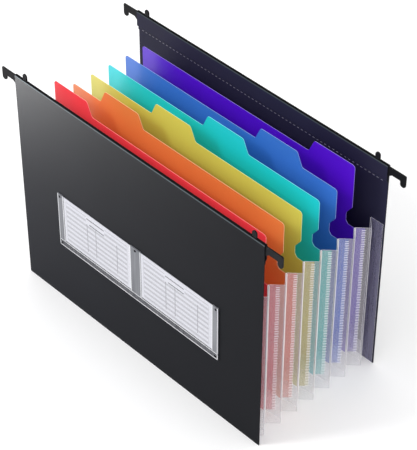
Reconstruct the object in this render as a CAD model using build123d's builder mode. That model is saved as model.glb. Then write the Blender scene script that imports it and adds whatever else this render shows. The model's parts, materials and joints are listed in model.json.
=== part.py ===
"""Expanding hanging file for a drawer with hanging rails.

Two folded covers carry hooked hanger rails. Six tab dividers stand between
them, and a pleated film gusset joins everything at the sides and the bottom.

X runs across the file, Y from the front cover to the back cover, Z up.
The origin is the bottom centre of the open file. Lengths are millimetres.
"""

import os
from math import atan2, cos, degrees, hypot, sin, tan

from build123d import *

# Covers
cover_width = 294.0
cover_height = 220.0
cover_sheet = 0.8
hem_depth = 20.0
hem_weld_height = 2.8

# Hanger rails
rail_sheet = 1.3
rail_height = 14.0
rail_clearance = 0.1
rail_top_gap = 1.3
hook_reach = 18.3
hook_arm_height = 6.8
hook_tip_width = 5.6
hook_drop = 5.2
hook_flare_run = 4.0
hook_flare_drop = 3.0
peg_inset = 12.0
peg_width = 5.0
peg_rise = 6.0
peg_slot_clearance = 0.4

# Pockets and dividers
pocket_count = 7
pocket_pitch = 19.6
divider_sheet = 0.45
divider_left_margin = 12.0
divider_right_margin = 3.7
shoulder_drop = 14.5
tab_rise = 13.0
tab_slope_run = 5.9
tab_left_margin = 0.4
tab_right_margin = 3.2
tab_corner_radius = 3.0
shoulder_corner_radius = 2.5
edge_notch_depth = 6.0
edge_notch_lip = 3.4
edge_notch_height = 8.0
edge_notch_upper_slope = 8.4
edge_notch_lower_slope = 3.0
edge_notch_radius = 2.4
divider_names = ("red", "orange", "yellow", "teal", "blue", "purple")

# Gusset
film = 0.35
stack_clearance = 0.2
gusset_inset = 14.7
gusset_drop = 63.0
pleat_reach = 9.7
bottom_pleat_root_z = 16.0
panel_floor_gap = 0.4
ridge_clearance = 0.06
divider_edge_gap = 0.4

# Label holder and its two cards
holder_width = 197.4
holder_height = 57.4
holder_bottom_z = 64.6
holder_film = 0.35
card_room = 0.65
holder_end_margin = 6.6
holder_middle_bar = 12.2
holder_bottom_margin = 7.0
card_sheet = 0.3
card_clearance = 0.4
card_top_gap = 1.2

# Derived sizes and places
rail_span = cover_width + 2 * hook_reach
peg_spacing = cover_width - 2 * peg_inset
gusset_width = cover_width - 2 * gusset_inset
gusset_height = cover_height - gusset_drop
divider_shoulder_z = cover_height - shoulder_drop

hem_gap = rail_sheet + 2 * rail_clearance
fold_radius = cover_sheet + hem_gap / 2
hem_bottom_z = cover_height - hem_depth
hem_weld_top_z = hem_bottom_z + hem_weld_height
rail_top_z = cover_height - rail_top_gap
rail_bottom_z = rail_top_z - rail_height
tab_top_z = divider_shoulder_z + tab_rise

holder_depth = holder_film + card_room
first_sheet_y = (holder_depth - pocket_count * pocket_pitch) / 2
sheet_face = divider_sheet / 2
front_outer_y = first_sheet_y + sheet_face - film - cover_sheet
back_outer_y = first_sheet_y + pocket_count * pocket_pitch - sheet_face + film + cover_sheet

closed_pitch = divider_sheet + 4 * film + 5 * stack_clearance
pocket_travel = pocket_pitch - closed_pitch
side_pivot_offset = sheet_face + stack_clearance + film / 2
bottom_pivot_offset = side_pivot_offset + film + stack_clearance


def pleat_length(pivot_offset):
    """Length of a panel from its fold at the sheet to the free ridge of the open pleat."""
    return hypot(pocket_pitch / 2 - pivot_offset, pleat_reach)


def pleat_angle(pivot_offset):
    """Angle in radians that a panel turns through as its pocket opens."""
    return atan2(pocket_pitch / 2 - pivot_offset, pleat_reach)


def ridge_trim(pivot_offset):
    """How much shorter than its full length a panel is cut, so that its edge
    stays on its own side of the pocket's middle while the pocket closes."""
    length = pleat_length(pivot_offset)
    open_angle = pleat_angle(pivot_offset)
    steps = 40
    trims = []
    for step in range(steps):
        opened = 1 - step / steps
        angle = open_angle * opened
        half_pocket = (closed_pitch + pocket_travel * opened) / 2
        room = half_pocket - ridge_clearance - pivot_offset - film / 2 * cos(angle)
        trims.append(length - room / sin(angle))
    return max(trims)


side_panel_length = pleat_length(side_pivot_offset) - ridge_trim(side_pivot_offset)
side_angle = pleat_angle(side_pivot_offset)
bottom_panel_length = pleat_length(bottom_pivot_offset) - ridge_trim(bottom_pivot_offset)
bottom_angle = pleat_angle(bottom_pivot_offset)
# The bottom pleat's ends are mitred to stay between the side pleat's panels.
mitre_slope = sin(bottom_angle) / tan(side_angle)
end_strip_width = pleat_length(side_pivot_offset)

card_pocket_width = (holder_width - 2 * holder_end_margin - holder_middle_bar) / 2
card_centre_x = (holder_middle_bar + card_pocket_width) / 2

os.makedirs("parts", exist_ok=True)


def write(part, name):
    part.label = name
    export_step(part, f"parts/{name}.step")


def upright(back_y):
    """Upright plane facing the front. What is extruded from it comes forward."""
    return Plane.XZ.offset(-back_y)


def folded_cover(outer_y, inward):
    """Cover sheet folded over at the top, its flap welded back on below the rail."""
    middle_y = outer_y + inward * fold_radius
    inner_face_y = outer_y + inward * cover_sheet
    flap_inner_y = outer_y + inward * (cover_sheet + hem_gap)
    flap_outer_y = outer_y + inward * 2 * fold_radius
    welded_flap_y = outer_y + inward * 2 * cover_sheet
    fold_z = cover_height - fold_radius
    bend_z = rail_bottom_z - rail_clearance
    with BuildPart() as cover:
        with BuildSketch(Plane.YZ.offset(-cover_width / 2)):
            with BuildLine():
                Polyline((inner_face_y, 0), (outer_y, 0), (outer_y, fold_z))
                ThreePointArc((outer_y, fold_z), (middle_y, cover_height), (flap_outer_y, fold_z))
                Polyline(
                    (flap_outer_y, fold_z),
                    (flap_outer_y, bend_z),
                    (welded_flap_y, hem_weld_top_z),
                    (welded_flap_y, hem_bottom_z),
                    (inner_face_y, hem_bottom_z),
                    (inner_face_y, 0),
                )
            make_face()
            with BuildLine():
                Polyline((inner_face_y, fold_z), (inner_face_y, hem_weld_top_z))
                Polyline((inner_face_y, hem_weld_top_z), (flap_inner_y, bend_z), (flap_inner_y, fold_z))
                ThreePointArc(
                    (flap_inner_y, fold_z),
                    (middle_y, fold_z + hem_gap / 2),
                    (inner_face_y, fold_z),
                )
            make_face(mode=Mode.SUBTRACT)
        extrude(amount=cover_width)
        # Slots in the fold for the rail's pegs
        with BuildSketch(Plane.XY.offset(fold_z)):
            with Locations((-peg_spacing / 2, middle_y), (peg_spacing / 2, middle_y)):
                Rectangle(peg_width + 2 * peg_slot_clearance, hem_gap)
        extrude(amount=fold_radius, mode=Mode.SUBTRACT)
    return cover.part


def hanger_rail(middle_y):
    """Flat strip inside the hem, with a hook and a peg at each end."""
    arm_bottom_z = rail_top_z - hook_arm_height
    flare_bottom_z = arm_bottom_z - hook_flare_drop
    tip_bottom_z = arm_bottom_z - hook_drop
    half_span = rail_span / 2
    tip_inner_x = half_span - hook_tip_width
    body_x = cover_width / 2
    half_outline = (
        (0, rail_bottom_z),
        (body_x - hook_flare_run, rail_bottom_z),
        (body_x, flare_bottom_z),
        (body_x + hook_flare_run, arm_bottom_z),
        (tip_inner_x, arm_bottom_z),
        (tip_inner_x, tip_bottom_z),
        (half_span, tip_bottom_z),
        (half_span, rail_top_z),
        (0, rail_top_z),
    )
    tip_radius = 0.45 * hook_tip_width
    corner_radii = (0, 0, 1.5, 1.0, tip_radius, tip_radius, 1.2)
    with BuildPart() as rail:
        with BuildSketch(upright(middle_y + rail_sheet / 2)):
            with BuildLine():
                FilletPolyline(*half_outline, radius=corner_radii)
                Line((0, rail_top_z), (0, rail_bottom_z))
            make_face()
            mirror(about=Plane.YZ)
            with Locations((-peg_spacing / 2, rail_top_z), (peg_spacing / 2, rail_top_z)):
                peg_height = rail_top_gap + peg_rise
                Rectangle(peg_width, peg_height - peg_width / 2, align=(Align.CENTER, Align.MIN))
            peg_centre_z = cover_height + peg_rise - peg_width / 2
            with Locations((-peg_spacing / 2, peg_centre_z), (peg_spacing / 2, peg_centre_z)):
                Circle(peg_width / 2)
        extrude(amount=rail_sheet)
    return rail.part


def divider(place, sheet_y):
    """Sheet that stands between two pockets. Its tab is the place-th from the left."""
    half_root = gusset_width / 2
    left_x = divider_left_margin - half_root
    right_x = half_root - divider_right_margin
    notch_lower_z = gusset_height - panel_floor_gap
    notch_bottom_z = notch_lower_z + edge_notch_lower_slope
    notch_top_z = notch_bottom_z + edge_notch_height
    edge_bottom_z = notch_top_z + edge_notch_upper_slope
    tab_room = right_x - tab_right_margin - left_x - tab_left_margin
    tab_width = tab_room / len(divider_names)
    tab_left_x = left_x + tab_left_margin + (place - 1) * tab_width
    tab_right_x = tab_left_x + tab_width

    right_side = [
        (half_root, bottom_pleat_root_z - divider_edge_gap),
        (half_root, notch_lower_z),
        (right_x - edge_notch_lip, notch_lower_z),
        (right_x - edge_notch_depth, notch_bottom_z),
        (right_x - edge_notch_depth, notch_top_z),
        (right_x, edge_bottom_z),
    ]
    left_side = [
        (left_x, edge_bottom_z),
        (left_x + edge_notch_depth, notch_top_z),
        (left_x + edge_notch_depth, notch_bottom_z),
        (left_x + edge_notch_lip, notch_lower_z),
        (-half_root, notch_lower_z),
        (-half_root, bottom_pleat_root_z - divider_edge_gap),
    ]
    side_radii = [0, 0, 0, edge_notch_radius, edge_notch_radius, edge_notch_radius]

    top = []
    top_radii = []
    if place < len(divider_names):
        top += [(right_x, divider_shoulder_z), (tab_right_x + tab_slope_run, divider_shoulder_z)]
        top += [(tab_right_x, tab_top_z)]
        top_radii += [tab_corner_radius, shoulder_corner_radius, tab_corner_radius]
    else:
        top += [(right_x, tab_top_z)]
        top_radii += [tab_corner_radius]
    if place > 1:
        top += [(tab_left_x, tab_top_z), (tab_left_x - tab_slope_run, divider_shoulder_z)]
        top += [(left_x, divider_shoulder_z)]
        top_radii += [tab_corner_radius, shoulder_corner_radius, tab_corner_radius]
    else:
        top += [(left_x, tab_top_z)]
        top_radii += [tab_corner_radius]

    with BuildPart() as sheet:
        with BuildSketch(upright(sheet_y + sheet_face)):
            with BuildLine():
                FilletPolyline(
                    *right_side,
                    *top,
                    *left_side,
                    radius=side_radii + top_radii + side_radii[::-1],
                    close=True,
                )
            make_face()
        extrude(amount=divider_sheet)
    return sheet.part


def side_panel(side, sheet_y, towards_back):
    """Upright half of a side pleat, from its fold at a sheet out to the ridge.
    side is 1 on the right and -1 on the left."""
    pivot_y = sheet_y + towards_back * side_pivot_offset
    turn = degrees(side_angle) * towards_back
    rotation = turn if side > 0 else 180 - turn
    with BuildPart() as panel:
        with BuildSketch(Plane.XY.offset(panel_floor_gap)):
            with Locations(Location((side * gusset_width / 2, pivot_y), rotation)):
                Rectangle(side_panel_length, film, align=(Align.MIN, Align.CENTER))
        extrude(amount=gusset_height - panel_floor_gap)
    return panel.part


def bottom_panel(sheet_y, towards_back):
    """Half of a bottom pleat, hanging from its fold at a sheet down to the ridge."""
    pivot = (0, sheet_y + towards_back * bottom_pivot_offset, bottom_pleat_root_z)
    normal = (0, cos(bottom_angle), towards_back * sin(bottom_angle))
    half_root = gusset_width / 2
    half_ridge = half_root + mitre_slope * bottom_panel_length
    with BuildPart() as panel:
        with BuildSketch(Plane(origin=pivot, x_dir=(1, 0, 0), z_dir=normal)):
            with BuildLine():
                Polyline(
                    (-half_root, 0),
                    (half_root, 0),
                    (half_ridge, bottom_panel_length),
                    (-half_ridge, bottom_panel_length),
                    close=True,
                )
            make_face()
        extrude(amount=film / 2, both=True)
    return panel.part


def end_strip(back_y):
    """The gusset's last turn, a U of film welded flat on a cover's inner face."""
    outer_width = gusset_width + 2 * end_strip_width
    with BuildPart() as strip:
        with BuildSketch(upright(back_y)):
            with Locations((0, panel_floor_gap)):
                Rectangle(
                    outer_width,
                    gusset_height - panel_floor_gap,
                    align=(Align.CENTER, Align.MIN),
                )
            with Locations((0, bottom_pleat_root_z)):
                Rectangle(
                    gusset_width,
                    gusset_height - bottom_pleat_root_z,
                    align=(Align.CENTER, Align.MIN),
                    mode=Mode.SUBTRACT,
                )
        extrude(amount=film)
    return strip.part


# Covers and their rails
write(folded_cover(front_outer_y, 1), "front_cover")
write(folded_cover(back_outer_y, -1), "back_cover")
write(hanger_rail(front_outer_y + fold_radius), "front_hanger_rail")
write(hanger_rail(back_outer_y - fold_radius), "back_hanger_rail")

# Film strips that join the gusset to the covers
write(end_strip(front_outer_y + cover_sheet + film), "front_gusset_strip")
write(end_strip(back_outer_y - cover_sheet), "back_gusset_strip")

# Dividers, front to back
for place, colour in enumerate(divider_names, start=1):
    write(divider(place, first_sheet_y + place * pocket_pitch), f"{colour}_divider")

# Pleats of the seven pockets, numbered from the front
for pocket in range(1, pocket_count + 1):
    front_sheet_y = first_sheet_y + (pocket - 1) * pocket_pitch
    back_sheet_y = front_sheet_y + pocket_pitch
    for half, sheet_y, towards_back in (("front", front_sheet_y, 1), ("back", back_sheet_y, -1)):
        write(side_panel(-1, sheet_y, towards_back), f"left_pleat_{pocket}_{half}")
        write(side_panel(1, sheet_y, towards_back), f"right_pleat_{pocket}_{half}")
        write(bottom_panel(sheet_y, towards_back), f"bottom_pleat_{pocket}_{half}")

# Label holder: one film moulding, with two card pockets open at the top
with BuildPart() as label_holder:
    with BuildSketch(upright(front_outer_y)):
        with Locations((0, holder_bottom_z)):
            Rectangle(holder_width, holder_height, align=(Align.CENTER, Align.MIN))
    extrude(amount=holder_depth)
    pocket_floor_z = holder_bottom_z + holder_bottom_margin
    with BuildSketch(upright(front_outer_y)):
        with Locations((-card_centre_x, pocket_floor_z), (card_centre_x, pocket_floor_z)):
            Rectangle(card_pocket_width, holder_height, align=(Align.CENTER, Align.MIN))
    extrude(amount=card_room, mode=Mode.SUBTRACT)
write(label_holder.part, "label_holder")

# Paper cards, standing in the middle of their pockets
card_width = card_pocket_width - 2 * card_clearance
card_height = holder_height - holder_bottom_margin - card_top_gap
card_bottom_z = pocket_floor_z + card_clearance / 2
card_back_y = front_outer_y - (card_room - card_sheet) / 2
for side, side_name in ((-1, "left"), (1, "right")):
    with BuildPart() as card:
        with BuildSketch(upright(card_back_y)):
            with Locations((side * card_centre_x, card_bottom_z)):
                Rectangle(card_width, card_height, align=(Align.CENTER, Align.MIN))
        extrude(amount=card_sheet)
    write(card.part, f"{side_name}_label_card")
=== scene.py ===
"""Looks of an expanding hanging file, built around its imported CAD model.

X runs across the file, Y from the front cover to the back cover, Z up, in metres.
"""

import json
import math

import bmesh
import bpy
from mathutils import Matrix, Vector


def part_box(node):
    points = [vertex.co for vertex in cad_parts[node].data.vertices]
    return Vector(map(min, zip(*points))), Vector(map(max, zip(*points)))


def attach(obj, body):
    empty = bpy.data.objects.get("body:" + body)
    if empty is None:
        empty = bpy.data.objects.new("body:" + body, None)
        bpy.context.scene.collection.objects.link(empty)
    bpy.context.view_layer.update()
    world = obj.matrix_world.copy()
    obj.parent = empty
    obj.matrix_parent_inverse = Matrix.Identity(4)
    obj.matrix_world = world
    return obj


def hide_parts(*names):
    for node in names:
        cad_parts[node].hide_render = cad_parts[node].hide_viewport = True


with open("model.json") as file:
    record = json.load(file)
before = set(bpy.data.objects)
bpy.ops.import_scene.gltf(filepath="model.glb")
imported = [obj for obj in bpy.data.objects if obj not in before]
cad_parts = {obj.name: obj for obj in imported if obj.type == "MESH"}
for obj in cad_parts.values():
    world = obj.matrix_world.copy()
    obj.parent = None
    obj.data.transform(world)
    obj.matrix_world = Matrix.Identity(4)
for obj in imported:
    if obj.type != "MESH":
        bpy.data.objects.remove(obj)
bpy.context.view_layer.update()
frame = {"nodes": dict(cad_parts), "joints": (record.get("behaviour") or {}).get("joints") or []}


# Studio
# A pale table that runs on to the horizon under a white sky, a soft light at the front
# left, and two small low ones: for the dividers' left ends, and the front cover's left end.

def new_material(name):
    """A node material, its tree, its shader and the socket with the piece's own coordinates."""
    material = bpy.data.materials.new(name)
    material.use_nodes = True
    tree = material.node_tree
    place = tree.nodes.new("ShaderNodeTexCoord")
    return material, tree, tree.nodes["Principled BSDF"], place.outputs["Object"]


def noise(tree, place, scale, detail=2.0):
    """Socket of a noise whose grains measure about 1 / scale metres."""
    node = tree.nodes.new("ShaderNodeTexNoise")
    node.inputs["Scale"].default_value = scale
    node.inputs["Detail"].default_value = detail
    tree.links.new(place, node.inputs["Vector"])
    return node.outputs["Fac"]


def ramp(tree, factor, low, high, start=0.0, end=1.0):
    """Socket that goes from colour low to colour high as factor goes from start to end."""
    node = tree.nodes.new("ShaderNodeValToRGB")
    node.color_ramp.elements[0].position = start
    node.color_ramp.elements[1].position = end
    node.color_ramp.elements[0].color = low
    node.color_ramp.elements[1].color = high
    tree.links.new(factor, node.inputs["Fac"])
    return node.outputs["Color"]


table_half_width = 4.0
table_glow = 0.12
sky_strength = 1.06
table_mesh = bmesh.new()
bmesh.ops.create_grid(table_mesh, x_segments=1, y_segments=1, size=table_half_width)
table_data = bpy.data.meshes.new("table_top")
table_mesh.to_mesh(table_data)
table_mesh.free()
table_top = bpy.data.objects.new("table_top", table_data)
bpy.context.collection.objects.link(table_top)
table_paint, tree, shader, place = new_material("white table")
shader.inputs["Roughness"].default_value = 0.7
shader.inputs["Specular IOR Level"].default_value = 0.1
table_white = ramp(tree, noise(tree, place, 3), (0.9, 0.9, 0.905, 1), (0.92, 0.92, 0.925, 1))
tree.links.new(table_white, shader.inputs["Base Color"])
shader.inputs["Emission Color"].default_value = (1, 1, 1, 1)
shader.inputs["Emission Strength"].default_value = table_glow
table_data.materials.append(table_paint)

sky = bpy.data.worlds.new("white sky")
sky.use_nodes = True
sky.node_tree.nodes["Background"].inputs["Color"].default_value = (1, 1, 1, 1)
sky.node_tree.nodes["Background"].inputs["Strength"].default_value = sky_strength
bpy.context.scene.world = sky
bpy.context.scene.view_settings.view_transform = "Standard"


def soft_light(name, stands, aims, size, power):
    """A round area light that the camera doesn't see. size in metres, power in watts."""
    lamp = bpy.data.lights.new(name, "AREA")
    lamp.shape = "DISK"
    lamp.size = size
    lamp.energy = power
    holder = bpy.data.objects.new(name, lamp)
    holder.location = stands
    holder.rotation_euler = (Vector(aims) - Vector(stands)).to_track_quat("-Z", "Y").to_euler()
    holder.visible_camera = False
    bpy.context.collection.objects.link(holder)
    return holder


soft_light("key_light", (-0.75, -1.35, 1.6), (0, 0, 0.1), 0.45, 15)
end_light = soft_light("end_light", (-0.42, -0.28, 0.08), (-0.14, -0.07, 0.22), 0.24, 0.8)
corner_light = soft_light("corner_light", (-0.42, -0.28, 0.06), (-0.14, -0.07, 0.22), 0.2, 7)
lit_dividers = bpy.data.collections.new("lit_dividers")
lit_corner = bpy.data.collections.new("lit_corner")
end_light.light_linking.receiver_collection = lit_dividers
corner_light.light_linking.receiver_collection = lit_corner

# The camera stands at the front right, above the file, with a long lens.
camera_turn = math.radians(46.334)
camera_rise = math.radians(40.998)
camera_roll = math.radians(0.142)
camera_stands = Vector((0.84856, -0.79626, 1.11752))
long_lens = 145.63
sensor_width = 36.0

backwards = Vector((
    math.sin(camera_turn) * math.cos(camera_rise),
    -math.cos(camera_turn) * math.cos(camera_rise),
    math.sin(camera_rise),
))
right = Vector((math.cos(camera_turn), math.sin(camera_turn), 0))
up = backwards.cross(right)
rolled_right = right * math.cos(camera_roll) + up * math.sin(camera_roll)
rolled_up = up * math.cos(camera_roll) - right * math.sin(camera_roll)
camera_data = bpy.data.cameras.new("camera")
camera_data.sensor_width = sensor_width
camera_data.lens = long_lens
camera = bpy.data.objects.new("camera", camera_data)
turn = Matrix((rolled_right, rolled_up, backwards)).transposed().to_4x4()
camera.matrix_world = Matrix.Translation(camera_stands) @ turn
bpy.context.collection.objects.link(camera)
bpy.context.scene.camera = camera


# Covers
# Two sheets of black polypropylene with a finely grained face, each folded over at the
# top and welded to itself below the rail, in a row of short dashes.

MM = 0.001
cover_sheet = 0.8 * MM
hem_depth = 20.0 * MM
hem_weld_height = 2.8 * MM


def srgb(red, green, blue):
    """Linear colour of a paint given as its 0 to 255 screen values."""
    linear = []
    for value in (red, green, blue):
        share = value / 255
        linear.append(share / 12.92 if share <= 0.04045 else ((share + 0.055) / 1.055) ** 2.4)
    return (*linear, 1.0)


def scaled(tree, factor, low, high):
    """Socket that goes from low to high as factor goes from 0.3 to 0.7, a noise's usual span."""
    node = tree.nodes.new("ShaderNodeMapRange")
    node.inputs["From Min"].default_value = 0.3
    node.inputs["From Max"].default_value = 0.7
    node.inputs["To Min"].default_value = low
    node.inputs["To Max"].default_value = high
    tree.links.new(factor, node.inputs["Value"])
    return node.outputs["Result"]


def add_bump(tree, shader, height, depth, strength=1.0):
    """Relief of the given depth in metres, on top of any relief that the shader has."""
    node = tree.nodes.new("ShaderNodeBump")
    node.inputs["Distance"].default_value = depth
    node.inputs["Strength"].default_value = strength
    tree.links.new(height, node.inputs["Height"])
    normal = shader.inputs["Normal"]
    if normal.is_linked:
        tree.links.new(normal.links[0].from_socket, node.inputs["Normal"])
    tree.links.new(node.outputs["Normal"], normal)


def dim(colour, share):
    """The colour at a share of its brightness."""
    return (colour[0] * share, colour[1] * share, colour[2] * share, 1.0)


def grained_plastic(name, colour, grain, depth, rough, shine=0.5):
    """Opaque sheet plastic with a pressed grain and a little unevenness of gloss."""
    material, tree, shader, place = new_material(name)
    shader.inputs["Specular IOR Level"].default_value = shine
    fine = noise(tree, place, 1 / grain, 1.0)
    broad = noise(tree, place, 22, 3.0)
    tone = ramp(tree, broad, dim(colour, 0.92), dim(colour, 1.08), 0.3, 0.7)
    tree.links.new(tone, shader.inputs["Base Color"])
    tree.links.new(scaled(tree, broad, rough - 0.015, rough + 0.015), shader.inputs["Roughness"])
    add_bump(tree, shader, fine, depth)
    return material


def piece_of(name, mesh, materials, body, replaced=()):
    """Finish a bmesh as a piece that rides on a body, with the given materials."""
    data = bpy.data.meshes.new(name)
    mesh.to_mesh(data)
    mesh.free()
    piece = bpy.data.objects.new(name, data)
    bpy.context.collection.objects.link(piece)
    for material in materials:
        data.materials.append(material)
    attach(piece, body)
    if replaced:
        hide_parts(*replaced)
    return piece


def eased_copy(node, radius, rim_axis=None):
    """A CAD node's shape as one closed shell with its corners eased by radius. Faces that
    don't face along rim_axis take the second material."""
    mesh = bmesh.new()
    mesh.from_mesh(frame["nodes"][node].data)
    bmesh.ops.remove_doubles(mesh, verts=mesh.verts, dist=0.001 * MM)
    flat = math.radians(0.5)
    bmesh.ops.dissolve_limit(mesh, angle_limit=flat, verts=mesh.verts, edges=mesh.edges)
    bmesh.ops.recalc_face_normals(mesh, faces=mesh.faces)
    corners = [e for e in mesh.edges if e.is_manifold and e.calc_face_angle() > math.radians(35)]
    for face in mesh.faces:
        if rim_axis and abs(face.normal.dot(Vector(rim_axis))) < 0.5:
            face.material_index = 1
    bmesh.ops.bevel(
        mesh,
        geom=corners,
        offset=radius,
        offset_type="OFFSET",
        segments=2,
        profile=0.5,
        affect="EDGES",
        clamp_overlap=True,
        material=-1,
    )
    for face in mesh.faces:
        face.smooth = True
    return mesh


def keep_faces_flat(piece):
    """Shade the eased corners round and the faces between them flat."""
    flatten = piece.modifiers.new("flat faces", "WEIGHTED_NORMAL")
    flatten.keep_sharp = False


cover_black = grained_plastic("cover black", srgb(14, 15, 19), 0.45 * MM, 0.02 * MM, 0.5, 0.05)
# Painted shade: the top of the hem's round is near black because little light falls on it.
hem_top_painted_shade = grained_plastic("hem top painted shade", srgb(8, 8, 10), 0.45 * MM, 0.01 * MM, 0.55, 0.05)
inner_black = grained_plastic("smooth inner face", srgb(42, 41, 60), 0.9 * MM, 0.01 * MM, 0.5, 0.08)
# Painted highlight: a paler grey line where the round of the hem starts.
crease_painted_highlight = grained_plastic("crease painted highlight", srgb(66, 74, 78), 0.3 * MM, 0.01 * MM, 0.5, 0.04)
weld_grey = grained_plastic("weld grey", srgb(120, 118, 130), 0.3 * MM, 0.01 * MM, 0.35)


def hem_weld(name, cover, inwards, body):
    """The row of pressed dashes that closes a hem. inwards is 1 on the front cover."""
    low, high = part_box(cover)
    outer_y = low.y if inwards > 0 else high.y
    face_y = outer_y + inwards * 2 * cover_sheet
    row_z = high.z - hem_depth + hem_weld_height / 2
    end_margin = 6 * MM
    pitch = 4.4 * MM
    dash = Vector((2.1 * MM, 0.16 * MM, 0.7 * MM))
    count = int((high.x - low.x - 2 * end_margin) / pitch) + 1
    mesh = bmesh.new()
    for index in range(count):
        middle = Vector(((index - (count - 1) / 2) * pitch, face_y, row_z))
        place = Matrix.Translation(middle) @ Matrix.Diagonal((*dash, 1))
        bmesh.ops.create_cube(mesh, size=1, matrix=place)
    bmesh.ops.bevel(
        mesh,
        geom=list(mesh.edges),
        offset=0.07 * MM,
        segments=1,
        profile=0.5,
        affect="EDGES",
        material=-1,
    )
    piece_of(name, mesh, [weld_grey], body)


def finish_cover(shell, top_z, outer_y, inwards):
    """Give the inner face and the round of the hem their own finishes. The round gets painted
    shade, near black, on top, and a painted highlight, a paler grey line, where it starts."""
    for face in shell.faces:
        middle = face.calc_center_median()
        if face.normal.y * inwards > 0.9 and (middle.y - outer_y) * inwards > 0.7 * MM:
            face.material_index = 3
        if middle.z > top_z - 1.7 * MM:
            if face.normal.z > 0.5:
                face.material_index = 1
            elif face.normal.z > 0.06:
                face.material_index = 2


cover_finish = [cover_black, hem_top_painted_shade, crease_painted_highlight, inner_black]
for side, inwards in (("front", 1), ("back", -1)):
    cover = f"{side}_cover"
    shell = eased_copy(cover, 0.12 * MM)
    low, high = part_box(cover)
    finish_cover(shell, high.z, low.y if inwards > 0 else high.y, inwards)
    sheet = piece_of(f"{cover}_sheet", shell, cover_finish, side, [cover])
    keep_faces_flat(sheet)
    if side == "front":
        lit_corner.objects.link(sheet)
    hem_weld(f"{side}_hem_weld", cover, inwards, side)


# Hanger rails
# Flat strips of smooth black moulded plastic, pushed into the hems. Their hooks hang on
# the drawer's rails and their pegs come up through the folds.

rail_black, tree, shader, place = new_material("rail black")
moulded_black = ramp(tree, noise(tree, place, 60, 4), srgb(24, 24, 26), srgb(32, 32, 34), 0.3, 0.7)
tree.links.new(moulded_black, shader.inputs["Base Color"])
tree.links.new(scaled(tree, noise(tree, place, 180, 3), 0.42, 0.54), shader.inputs["Roughness"])
add_bump(tree, shader, noise(tree, place, 1600, 1), 0.01 * MM)
shader.inputs["Specular IOR Level"].default_value = 0.07

# Painted shade: the strip's edge faces are a darker copy of its plastic, so the hooks show a black
# outline.
rail_edge_painted_shade = grained_plastic("rail edge painted shade", srgb(10, 10, 11), 0.4 * MM, 0.01 * MM, 0.45, 0.1)
for side in ("front", "back"):
    rail = f"{side}_hanger_rail"
    strip = eased_copy(rail, 0.2 * MM, (0, 1, 0))
    finish = [rail_black, rail_edge_painted_shade]
    keep_faces_flat(piece_of(f"{rail}_strip", strip, finish, side, [rail]))


# Dividers
# Six die-cut sheets of tinted, slightly see-through polypropylene. Their cut edges are painted
# paler and glow a little: a painted highlight.

divider_paints = {
    "red": srgb(252, 62, 72),
    "orange": srgb(230, 138, 70),
    "yellow": srgb(214, 214, 92),
    "teal": srgb(10, 206, 220),
    "blue": srgb(62, 116, 208),
    "purple": srgb(84, 8, 198),
}
# Painted light: the share of its paint colour by which each sheet glows, though it is no lamp.
divider_painted_glow = {
    "red": 0.46,
    "orange": 0.28,
    "yellow": 0.3,
    "teal": 0.32,
    "blue": 0.28,
    "purple": 0.32,
}
sheet_opacity = 0.93
# Painted highlight: the cut edges glow by this share of their paled colour.
edge_painted_glow = 0.3


def paled(colour, share):
    """The colour with a share of white mixed in."""
    return tuple(channel + (1 - channel) * share for channel in colour[:3]) + (1.0,)


def towards_floor(tree, place, low_share, low_z, high_z):
    """Socket that falls from 1 at height high_z to low_share at height low_z."""
    height = tree.nodes.new("ShaderNodeSeparateXYZ")
    tree.links.new(place, height.inputs["Vector"])
    rise = tree.nodes.new("ShaderNodeMapRange")
    rise.interpolation_type = "SMOOTHSTEP"
    rise.inputs["From Min"].default_value = low_z
    rise.inputs["From Max"].default_value = high_z
    rise.inputs["To Min"].default_value = low_share
    tree.links.new(height.outputs["Z"], rise.inputs["Value"])
    return rise.outputs["Result"]


def combine(tree, operation, first, second=0):
    """Socket of an operation, such as MULTIPLY, on sockets or plain numbers."""
    node = tree.nodes.new("ShaderNodeMath")
    node.operation = operation
    for socket, value in zip(node.inputs, (first, second)):
        if isinstance(value, (int, float)):
            socket.default_value = value
        else:
            tree.links.new(value, socket)
    return node.outputs["Value"]


def tinted_plastic(name, colour, opacity, glow, rough=0.34, foot_opacity=1.0):
    """Dyed polypropylene sheet with a satin, lightly mottled face. Its paint is dimmed and a share
    of its colour glows instead, strongest at the top: painted light. foot_opacity is what stays of
    the sheet's opacity near the floor."""
    material, tree, shader, place = new_material(name)
    cloud = noise(tree, place, 26, 3.0)
    tone = ramp(tree, cloud, dim(colour, 0.68), dim(colour, 0.74), 0.3, 0.7)
    tree.links.new(tone, shader.inputs["Base Color"])
    tree.links.new(scaled(tree, cloud, rough - 0.03, rough + 0.03), shader.inputs["Roughness"])
    shader.inputs["Alpha"].default_value = opacity
    if foot_opacity < 1:
        fade = towards_floor(tree, place, foot_opacity, 0.016, 0.075)
        tree.links.new(fade, shader.inputs["Alpha"])
    shader.inputs["Emission Color"].default_value = colour
    lit_top = towards_floor(tree, place, 0.3, 0.165, 0.215)
    tree.links.new(combine(tree, "MULTIPLY", lit_top, glow), shader.inputs["Emission Strength"])
    add_bump(tree, shader, noise(tree, place, 1800, 1), 0.008 * MM)
    return material


for colour, paint in divider_paints.items():
    sheet_finish = tinted_plastic(f"{colour} sheet", paint, sheet_opacity, divider_painted_glow[colour])
    # Painted highlight on the cut edges: paler than the sheet and glowing.
    divider_edge_highlight_finish = tinted_plastic(f"{colour} painted edge highlight", paled(paint, 0.2), 1.0, edge_painted_glow)
    finish = [sheet_finish, divider_edge_highlight_finish]
    divider = f"{colour}_divider"
    sheet = eased_copy(divider, 0.06 * MM, (0, 1, 0))
    sheet_piece = piece_of(f"{divider}_sheet", sheet, finish, divider, [divider])
    keep_faces_flat(sheet_piece)
    lit_dividers.objects.link(sheet_piece)


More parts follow.
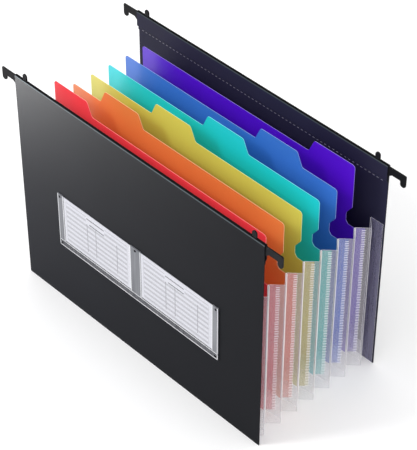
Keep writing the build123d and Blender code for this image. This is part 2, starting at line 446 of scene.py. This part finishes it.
# Gusset pleats
# One frosted film zigzags down both sides and along the bottom. Each half pleat turns on
# its fold at a sheet, and its free ridge meets the next half's when the pocket is open.

film_thickness = 0.35 * MM
# Painted light: how much the gusset film glows near the floor.
painted_foot_glow = 0.3
joints = {joint["name"]: joint for joint in frame["joints"]}


def frosted_film(name, colour, opacity, rough=0.38, clear_foot=0.0):
    """Clear polypropylene film with a fine frosting and faint streaks from its casting. It
    loses the share clear_foot of its frosting towards the floor, and there it glows a little:
    painted light."""
    material, tree, shader, place = new_material(name)
    stretch = tree.nodes.new("ShaderNodeMapping")
    stretch.inputs["Scale"].default_value = (1, 1, 0.04)
    tree.links.new(place, stretch.inputs["Vector"])
    streaks = noise(tree, stretch.outputs["Vector"], 420, 2.0)
    tone = ramp(tree, streaks, dim(colour, 0.95), paled(colour, 0.1), 0.3, 0.7)
    tree.links.new(tone, shader.inputs["Base Color"])
    frosting = scaled(tree, streaks, 0.92 * opacity, 1.08 * opacity)
    if clear_foot:
        fade = towards_floor(tree, place, 1 - clear_foot, 0.012, 0.055)
        frosting = combine(tree, "MULTIPLY", frosting, fade)
        shader.inputs["Emission Color"].default_value = (1, 1, 1, 1)
        foot_share = towards_floor(tree, place, 1 - clear_foot, 0.005, 0.06)
        lit_foot = tree.nodes.new("ShaderNodeMapRange")
        lit_foot.inputs["From Min"].default_value = 1.0
        lit_foot.inputs["From Max"].default_value = 1 - clear_foot
        lit_foot.inputs["To Max"].default_value = painted_foot_glow
        tree.links.new(foot_share, lit_foot.inputs["Value"])
        tree.links.new(lit_foot.outputs["Result"], shader.inputs["Emission Strength"])
    tree.links.new(frosting, shader.inputs["Alpha"])
    shader.inputs["Roughness"].default_value = rough
    add_bump(tree, shader, noise(tree, place, 2200, 1), 0.006 * MM)
    return material


gusset_film = frosted_film("gusset film", srgb(196, 192, 199), 0.24, clear_foot=0.35)
# Painted highlight: the film's rounded ends and ridges are near white and nearly opaque.
gusset_ridge_painted_highlight = frosted_film("gusset film ridge painted highlight", srgb(240, 238, 242), 0.85)


def film_strip(length, low, high, flare=0.0):
    """Film with round ends, from the origin along +X for length, and along Z from low to
    high. Its far end is longer by flare times its length at both ends."""
    mesh = bmesh.new()
    size = Matrix.Diagonal((length, film_thickness, high - low, 1))
    middle = Matrix.Translation((length / 2, 0, (low + high) / 2))
    bmesh.ops.create_cube(mesh, size=1, matrix=middle @ size)
    for corner in mesh.verts:
        if corner.co.x > length / 2:
            corner.co.z += math.copysign(flare * length, corner.co.z - (low + high) / 2)
    ends = [e for e in mesh.edges if abs((e.verts[0].co - e.verts[1].co).x) < 0.001 * MM
            and abs((e.verts[0].co - e.verts[1].co).y) < 0.001 * MM]
    bmesh.ops.bevel(
        mesh,
        geom=ends,
        offset=0.48 * film_thickness,
        offset_type="OFFSET",
        segments=4,
        profile=0.5,
        affect="EDGES",
        clamp_overlap=True,
        material=-1,
    )
    for face in mesh.faces:
        face.material_index = 0 if abs(face.normal.y) > 0.9 else 1
        face.smooth = face.material_index == 1 and abs(face.normal.z) < 0.5
    return mesh


def hinged_frame(fold, outward, along):
    """Matrix that puts a strip's start on a fold joint's axis, with X outward and Z along."""
    across = along.cross(outward)
    axes = Matrix((outward, across, along)).transposed().to_4x4()
    return Matrix.Translation(Vector(fold["pos_m"])) @ axes


def pleat_fold(where, pocket, half):
    """The fold joint of a half pleat, and the length from its fold to the open ridge."""
    fold = joints[f"{where}_pleat_{pocket}_{half}_fold"]
    front_y = joints[f"{where}_pleat_{pocket}_front_fold"]["pos_m"][1]
    back_y = joints[f"{where}_pleat_{pocket}_back_fold"]["pos_m"][1]
    angle = math.radians(fold["range_deg"][1])
    return fold, angle, (back_y - front_y) / 2 / math.sin(angle)


pocket_count = sum(name.startswith("pocket_") for name in joints)
upwards = Vector((0, 0, 1))
for pocket in range(1, pocket_count + 1):
    for half, towards_back in (("front", 1), ("back", -1)):
        for where, side in (("left", -1), ("right", 1)):
            node = f"{where}_pleat_{pocket}_{half}"
            fold, angle, length = pleat_fold(where, pocket, half)
            outward = Vector((side * math.cos(angle), towards_back * math.sin(angle), 0))
            low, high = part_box(node)
            strip = film_strip(length, low.z - fold["pos_m"][2], high.z - fold["pos_m"][2])
            strip.transform(hinged_frame(fold, outward, upwards))
            piece_of(f"{node}_film", strip, [gusset_film, gusset_ridge_painted_highlight], node, [node])

        node = f"bottom_pleat_{pocket}_{half}"
        fold, angle, length = pleat_fold("bottom", pocket, half)
        side_angle = math.radians(joints[f"right_pleat_{pocket}_{half}_fold"]["range_deg"][1])
        outward = Vector((0, towards_back * math.sin(angle), -math.cos(angle)))
        half_root = joints[f"right_pleat_{pocket}_{half}_fold"]["pos_m"][0]
        mitre = math.sin(angle) / math.tan(side_angle)
        strip = film_strip(length, -half_root, half_root, mitre)
        strip.transform(hinged_frame(fold, outward, Vector((1, 0, 0))))
        piece_of(f"{node}_film", strip, [gusset_film, gusset_ridge_painted_highlight], node, [node])

strip_film = frosted_film("end strip film", srgb(168, 164, 200), 0.4)
for side in ("front", "back"):
    node = f"{side}_gusset_strip"
    strip = eased_copy(node, 0.06 * MM, (0, 1, 0))
    piece_of(f"{node}_film", strip, [strip_film, gusset_ridge_painted_highlight], side, [node])


# Fold beads
# Where the film turns round a sheet it is creased and stands up as a narrow bright bead.

fold_bead_width = 0.8 * MM
fold_bead_reach = 1.5 * MM
bead_film = frosted_film("creased film", srgb(250, 246, 246), 0.95)


def fold_bead(name, x, y, side, low, high, body):
    """An upright bead from a side fold at x, y outwards. side is 1 on the right."""
    mesh = bmesh.new()
    size = Matrix.Diagonal((fold_bead_reach, fold_bead_width, high - low, 1))
    middle = Matrix.Translation((x + side * fold_bead_reach / 2, y, (low + high) / 2))
    bmesh.ops.create_cube(mesh, size=1, matrix=middle @ size)
    outer = [e for e in mesh.edges if (e.verts[0].co.x - x) * side > 0.9 * fold_bead_reach
             and (e.verts[1].co.x - x) * side > 0.9 * fold_bead_reach
             and abs(e.verts[0].co.z - e.verts[1].co.z) > fold_bead_reach]
    bmesh.ops.bevel(
        mesh,
        geom=outer,
        offset=0.48 * fold_bead_width,
        segments=3,
        profile=0.5,
        affect="EDGES",
        clamp_overlap=True,
        material=-1,
    )
    piece_of(name, mesh, [bead_film], body)


for pocket, colour in enumerate(divider_paints, start=1):
    for where, side in (("left", -1), ("right", 1)):
        low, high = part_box(f"{where}_pleat_{pocket}_back")
        back_fold = joints[f"{where}_pleat_{pocket}_back_fold"]["pos_m"]
        front_fold = joints[f"{where}_pleat_{pocket + 1}_front_fold"]["pos_m"]
        sheet_y = (back_fold[1] + front_fold[1]) / 2
        name = f"{where}_{colour}_fold_bead"
        fold_bead(name, back_fold[0], sheet_y, side, low.z, high.z, f"{colour}_divider")


# Weld flaps
# Each divider's side edge is bent round and welded to the inside of the pleat behind it.
# The weld shows on the outside of the film as an upright row of fine ticks.

flap_share = 0.62
flap_sheet = 0.3 * MM
flap_paints = {
    "red": srgb(222, 22, 48),
    "orange": srgb(240, 108, 56),
    "yellow": srgb(206, 194, 30),
    "teal": srgb(6, 206, 204),
    "blue": srgb(44, 108, 228),
    "purple": srgb(88, 30, 200),
}
flap_bottom_z = 16.5 * MM
flap_top_margin = 0.8 * MM
flap_fold_margin = 0.7 * MM
tick_size = Vector((3.2 * MM, 0.12 * MM, 0.46 * MM))
tick_pitch = 1.9 * MM
tick_inset = 1.0 * MM
tick_white, tree, shader, place = new_material("weld tick")
tick_tone = ramp(tree, noise(tree, place, 900), srgb(228, 228, 232), srgb(250, 250, 252), 0.3, 0.7)
tree.links.new(tick_tone, shader.inputs["Base Color"])
shader.inputs["Roughness"].default_value = 0.4
shader.inputs["Alpha"].default_value = 0.85
# The ticks are white marks, and they also glow a little: painted light.
shader.inputs["Emission Color"].default_value = (1, 1, 1, 1)
shader.inputs["Emission Strength"].default_value = 0.14

for divider_number, (colour, paint) in enumerate(flap_paints.items(), start=1):
    # Painted light: the flaps glow by 0.45 of their paint, most at the top.
    flap_finish = tinted_plastic(f"{colour} flap", paint, 1.0, 0.45, foot_opacity=0.35)
    for where, side in (("left", -1), ("right", 1)):
        body = f"{where}_pleat_{divider_number + 1}_front"
        fold, angle, length = pleat_fold(where, divider_number + 1, "front")
        outward = Vector((side * math.cos(angle), math.sin(angle), 0))
        onto_pleat = hinged_frame(fold, outward, upwards)
        low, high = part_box(body)
        start = flap_fold_margin
        end = flap_share * length
        flap_low = flap_bottom_z - fold["pos_m"][2]
        flap_high = high.z - flap_top_margin - fold["pos_m"][2]
        inside_y = side * (film_thickness + flap_sheet + 0.02 * MM) / 2
        flap = bmesh.new()
        size = Matrix.Diagonal((end - start, flap_sheet, flap_high - flap_low, 1))
        middle = Matrix.Translation(((start + end) / 2, inside_y, (flap_low + flap_high) / 2))
        bmesh.ops.create_cube(flap, size=1, matrix=middle @ size)
        bmesh.ops.bevel(
            flap,
            geom=list(flap.edges),
            offset=0.08 * MM,
            segments=2,
            profile=0.5,
            affect="EDGES",
            material=-1,
        )
        flap.transform(onto_pleat)
        piece_of(f"{where}_{colour}_weld_flap", flap, [flap_finish], body)

        ticks = bmesh.new()
        outside_y = -side * film_thickness / 2
        count = int((flap_high - flap_low) / tick_pitch)
        for index in range(count):
            wander = 0.1 * MM * math.sin(index * 0.7 + divider_number)
            uneven = 1 + 0.12 * math.sin(index * 2.4 + 3 * divider_number)
            tick_z = flap_low + (index + 0.5) * tick_pitch
            middle = Vector((end - tick_inset + wander, outside_y, tick_z))
            stretch = Matrix.Diagonal((tick_size.x * uneven, tick_size.y, tick_size.z, 1))
            bmesh.ops.create_cube(ticks, size=1, matrix=Matrix.Translation(middle) @ stretch)
        ticks.transform(onto_pleat)
        piece_of(f"{where}_{colour}_weld_ticks", ticks, [tick_white], body)


# Label holder
# A clear film with two card pockets, open at the top, on welded bars. Five small black
# pins hold it to the front cover.

holder_film = 0.35 * MM
pocket_floor = 7.0 * MM
middle_bar = 12.2 * MM
end_bar = 6.6 * MM
window_film = frosted_film("window film", srgb(225, 226, 232), 0.10, 0.25)
bar_film = frosted_film("bar film", srgb(150, 152, 160), 0.55, 0.35)
floor_film = frosted_film("pocket floor film", srgb(112, 114, 122), 0.45, 0.35)
weld_line = frosted_film("holder weld line", srgb(225, 226, 230), 0.9, 0.35)

low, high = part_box("label_holder")
cover_face_y = high.y
front_y = low.y
holder = bmesh.new()
size = Matrix.Diagonal((high.x - low.x, holder_film, high.z - low.z, 1))
middle = ((low.x + high.x) / 2, front_y + holder_film / 2, (low.z + high.z) / 2)
bmesh.ops.create_cube(holder, size=1, matrix=Matrix.Translation(middle) @ size)
window_sides = (low.x + end_bar, -middle_bar / 2, middle_bar / 2, high.x - end_bar)
for x in window_sides:
    everything = list(holder.verts) + list(holder.edges) + list(holder.faces)
    bmesh.ops.bisect_plane(holder, geom=everything, plane_co=(x, 0, 0), plane_no=(1, 0, 0))
everything = list(holder.verts) + list(holder.edges) + list(holder.faces)
floor_z = low.z + pocket_floor
bmesh.ops.bisect_plane(holder, geom=everything, plane_co=(0, 0, floor_z), plane_no=(0, 0, 1))


def over_window(face):
    """Whether a face of the holder lies over one of the two windows."""
    middle = face.calc_center_median()
    across = abs(middle.x)
    return middle.z > floor_z + MM and middle_bar / 2 < across < high.x - end_bar


bars = [f for f in holder.faces if f.normal.y > 0.9 and not over_window(f)]
raised = bmesh.ops.extrude_face_region(holder, geom=bars)
raised_verts = [v for v in raised["geom"] if isinstance(v, bmesh.types.BMVert)]
bmesh.ops.translate(holder, verts=raised_verts, vec=(0, cover_face_y - front_y - holder_film, 0))
bmesh.ops.delete(holder, geom=bars, context="FACES")
bmesh.ops.recalc_face_normals(holder, faces=holder.faces)
for face in holder.faces:
    face.material_index = 0 if abs(face.normal.y) > 0.9 and over_window(face) else 1
    if face.calc_center_median().z < floor_z:
        face.material_index = 2
holder_finish = [window_film, bar_film, floor_film]
piece_of("label_holder_film", holder, holder_finish, "front", ["label_holder"])

line_width = 0.7 * MM
line_height = 0.12 * MM
lines = bmesh.new()


def weld_run(x_low, x_high, z_low, z_high):
    """One straight weld line on the face of the holder."""
    size = Matrix.Diagonal((x_high - x_low, line_height, z_high - z_low, 1))
    middle = ((x_low + x_high) / 2, front_y + 0.02 * MM, (z_low + z_high) / 2)
    bmesh.ops.create_cube(lines, size=1, matrix=Matrix.Translation(middle) @ size)


weld_run(low.x, high.x, low.z, low.z + line_width)
weld_run(low.x, high.x, floor_z - 1.5 * line_width, floor_z - 0.5 * line_width)
for x in (low.x, high.x - line_width):
    weld_run(x, x + line_width, low.z, high.z)
for x in window_sides:
    weld_run(x - line_width / 2, x + line_width / 2, floor_z, high.z)
piece_of("label_holder_weld_lines", lines, [weld_line], "front")

pin_black = grained_plastic("pin black", srgb(4, 4, 5), 0.3 * MM, 0.01 * MM, 0.5, 0.02)
pins = bmesh.new()
pin_radius = 1.35 * MM
pin_height = 0.3 * MM
pin_margin = 2.6 * MM
pin_places = [(x, z) for x in (low.x + pin_margin, high.x - pin_margin)
              for z in (low.z + pin_margin, high.z - pin_margin)]
pin_places.append((0, high.z - pin_margin))
for x, z in pin_places:
    stand = Matrix.Translation((x, front_y, z)) @ Matrix.Rotation(math.pi / 2, 4, "X")
    bmesh.ops.create_cone(
        pins,
        cap_ends=True,
        segments=16,
        radius1=pin_radius,
        radius2=0.8 * pin_radius,
        depth=pin_height,
        matrix=stand,
    )
piece_of("label_holder_pins", pins, [pin_black], "front")


# Label cards
# White paper cards that slide into the holder from above. A form is printed on them: ruled
# rows between two side lines, three columns, and a title of two bars in a cleared field.

row_pitch = 5.3 * MM
rule_width = 2.5 * MM
column_width = 0.8 * MM
column_places = (0.355, 0.485, 0.8)
side_line_width = 0.5 * MM
title_bar_height = 1.15 * MM
title_bars = ((4.8 * MM, 0.35), (10.0 * MM, 0.39))
row_ink = 0.36
column_ink = 0.66
side_line_ink = 0.3
title_ink = 0.97


def band(tree, coordinate, start, end):
    """Socket that is 1 where the coordinate lies between start and end, otherwise 0."""
    above = combine(tree, "GREATER_THAN", coordinate, start)
    below = combine(tree, "LESS_THAN", coordinate, end)
    return combine(tree, "MULTIPLY", above, below)


def printed_form(tree, place, low, high):
    """Socket that is the share of ink on a card's face, between its corners low and high."""
    axes = tree.nodes.new("ShaderNodeSeparateXYZ")
    tree.links.new(place, axes.inputs["Vector"])
    x = axes.outputs["X"]
    z = axes.outputs["Z"]
    width = high.x - low.x
    left = low.x + 3.4 * MM
    right_end = high.x - 4.4 * MM
    form_low = low.z + 2.6 * MM
    upright = band(tree, z, form_low, high.z - 3.2 * MM)

    inside = combine(tree, "MULTIPLY", band(tree, x, left, right_end), upright)
    rise = combine(tree, "SUBTRACT", z, form_low)
    row = combine(tree, "FRACT", combine(tree, "DIVIDE", rise, row_pitch))
    rows = combine(tree, "MULTIPLY", band(tree, row, 0, rule_width / row_pitch), inside)
    title_width = band(tree, x, low.x + 0.34 * width, low.x + 0.62 * width)
    title_height = band(tree, z, high.z - 11.2 * MM, high.z - 3.0 * MM)
    title_field = combine(tree, "MULTIPLY", title_width, title_height)
    cleared = combine(tree, "MULTIPLY", rows, combine(tree, "SUBTRACT", 1.0, title_field))
    ink = combine(tree, "MULTIPLY", cleared, row_ink)

    column_height = band(tree, z, low.z + 6.5 * MM, high.z - 11.5 * MM)
    for share in column_places:
        middle = low.x + share * width
        line = band(tree, x, middle - column_width / 2, middle + column_width / 2)
        line = combine(tree, "MULTIPLY", line, column_height)
        ink = combine(tree, "MAXIMUM", ink, combine(tree, "MULTIPLY", line, column_ink))
    for line_x in (left - 0.6 * MM, right_end + 0.2 * MM):
        line = band(tree, x, line_x, line_x + side_line_width)
        line = combine(tree, "MULTIPLY", line, upright)
        ink = combine(tree, "MAXIMUM", ink, combine(tree, "MULTIPLY", line, side_line_ink))
    for depth, start in title_bars:
        bar = band(tree, z, high.z - depth - title_bar_height, high.z - depth)
        bar_width = band(tree, x, low.x + start * width, low.x + 0.61 * width)
        bar = combine(tree, "MULTIPLY", bar, bar_width)
        ink = combine(tree, "MAXIMUM", ink, combine(tree, "MULTIPLY", bar, title_ink))
    return ink


def printed_card(name, low, high):
    """White paper with grey print on a card with corners low and high."""
    material, tree, shader, place = new_material(name)
    fibres = noise(tree, place, 700, 4.0)
    paper = ramp(tree, fibres, srgb(206, 206, 213), srgb(212, 212, 219), 0.3, 0.7)
    print_mix = tree.nodes.new("ShaderNodeMix")
    print_mix.data_type = "RGBA"
    tree.links.new(printed_form(tree, place, low, high), print_mix.inputs["Factor"])
    tree.links.new(paper, print_mix.inputs["A"])
    print_mix.inputs["B"].default_value = srgb(40, 42, 50)
    tree.links.new(print_mix.outputs["Result"], shader.inputs["Base Color"])
    shader.inputs["Roughness"].default_value = 0.75
    shader.inputs["Specular IOR Level"].default_value = 0.25
    add_bump(tree, shader, fibres, 0.004 * MM)
    return material


for side in ("left", "right"):
    node = f"{side}_label_card"
    low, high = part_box(node)
    card = eased_copy(node, 0.05 * MM)
    paper = printed_card(f"{side} card print", low, high)
    keep_faces_flat(piece_of(f"{node}_paper", card, [paper], node, [node]))
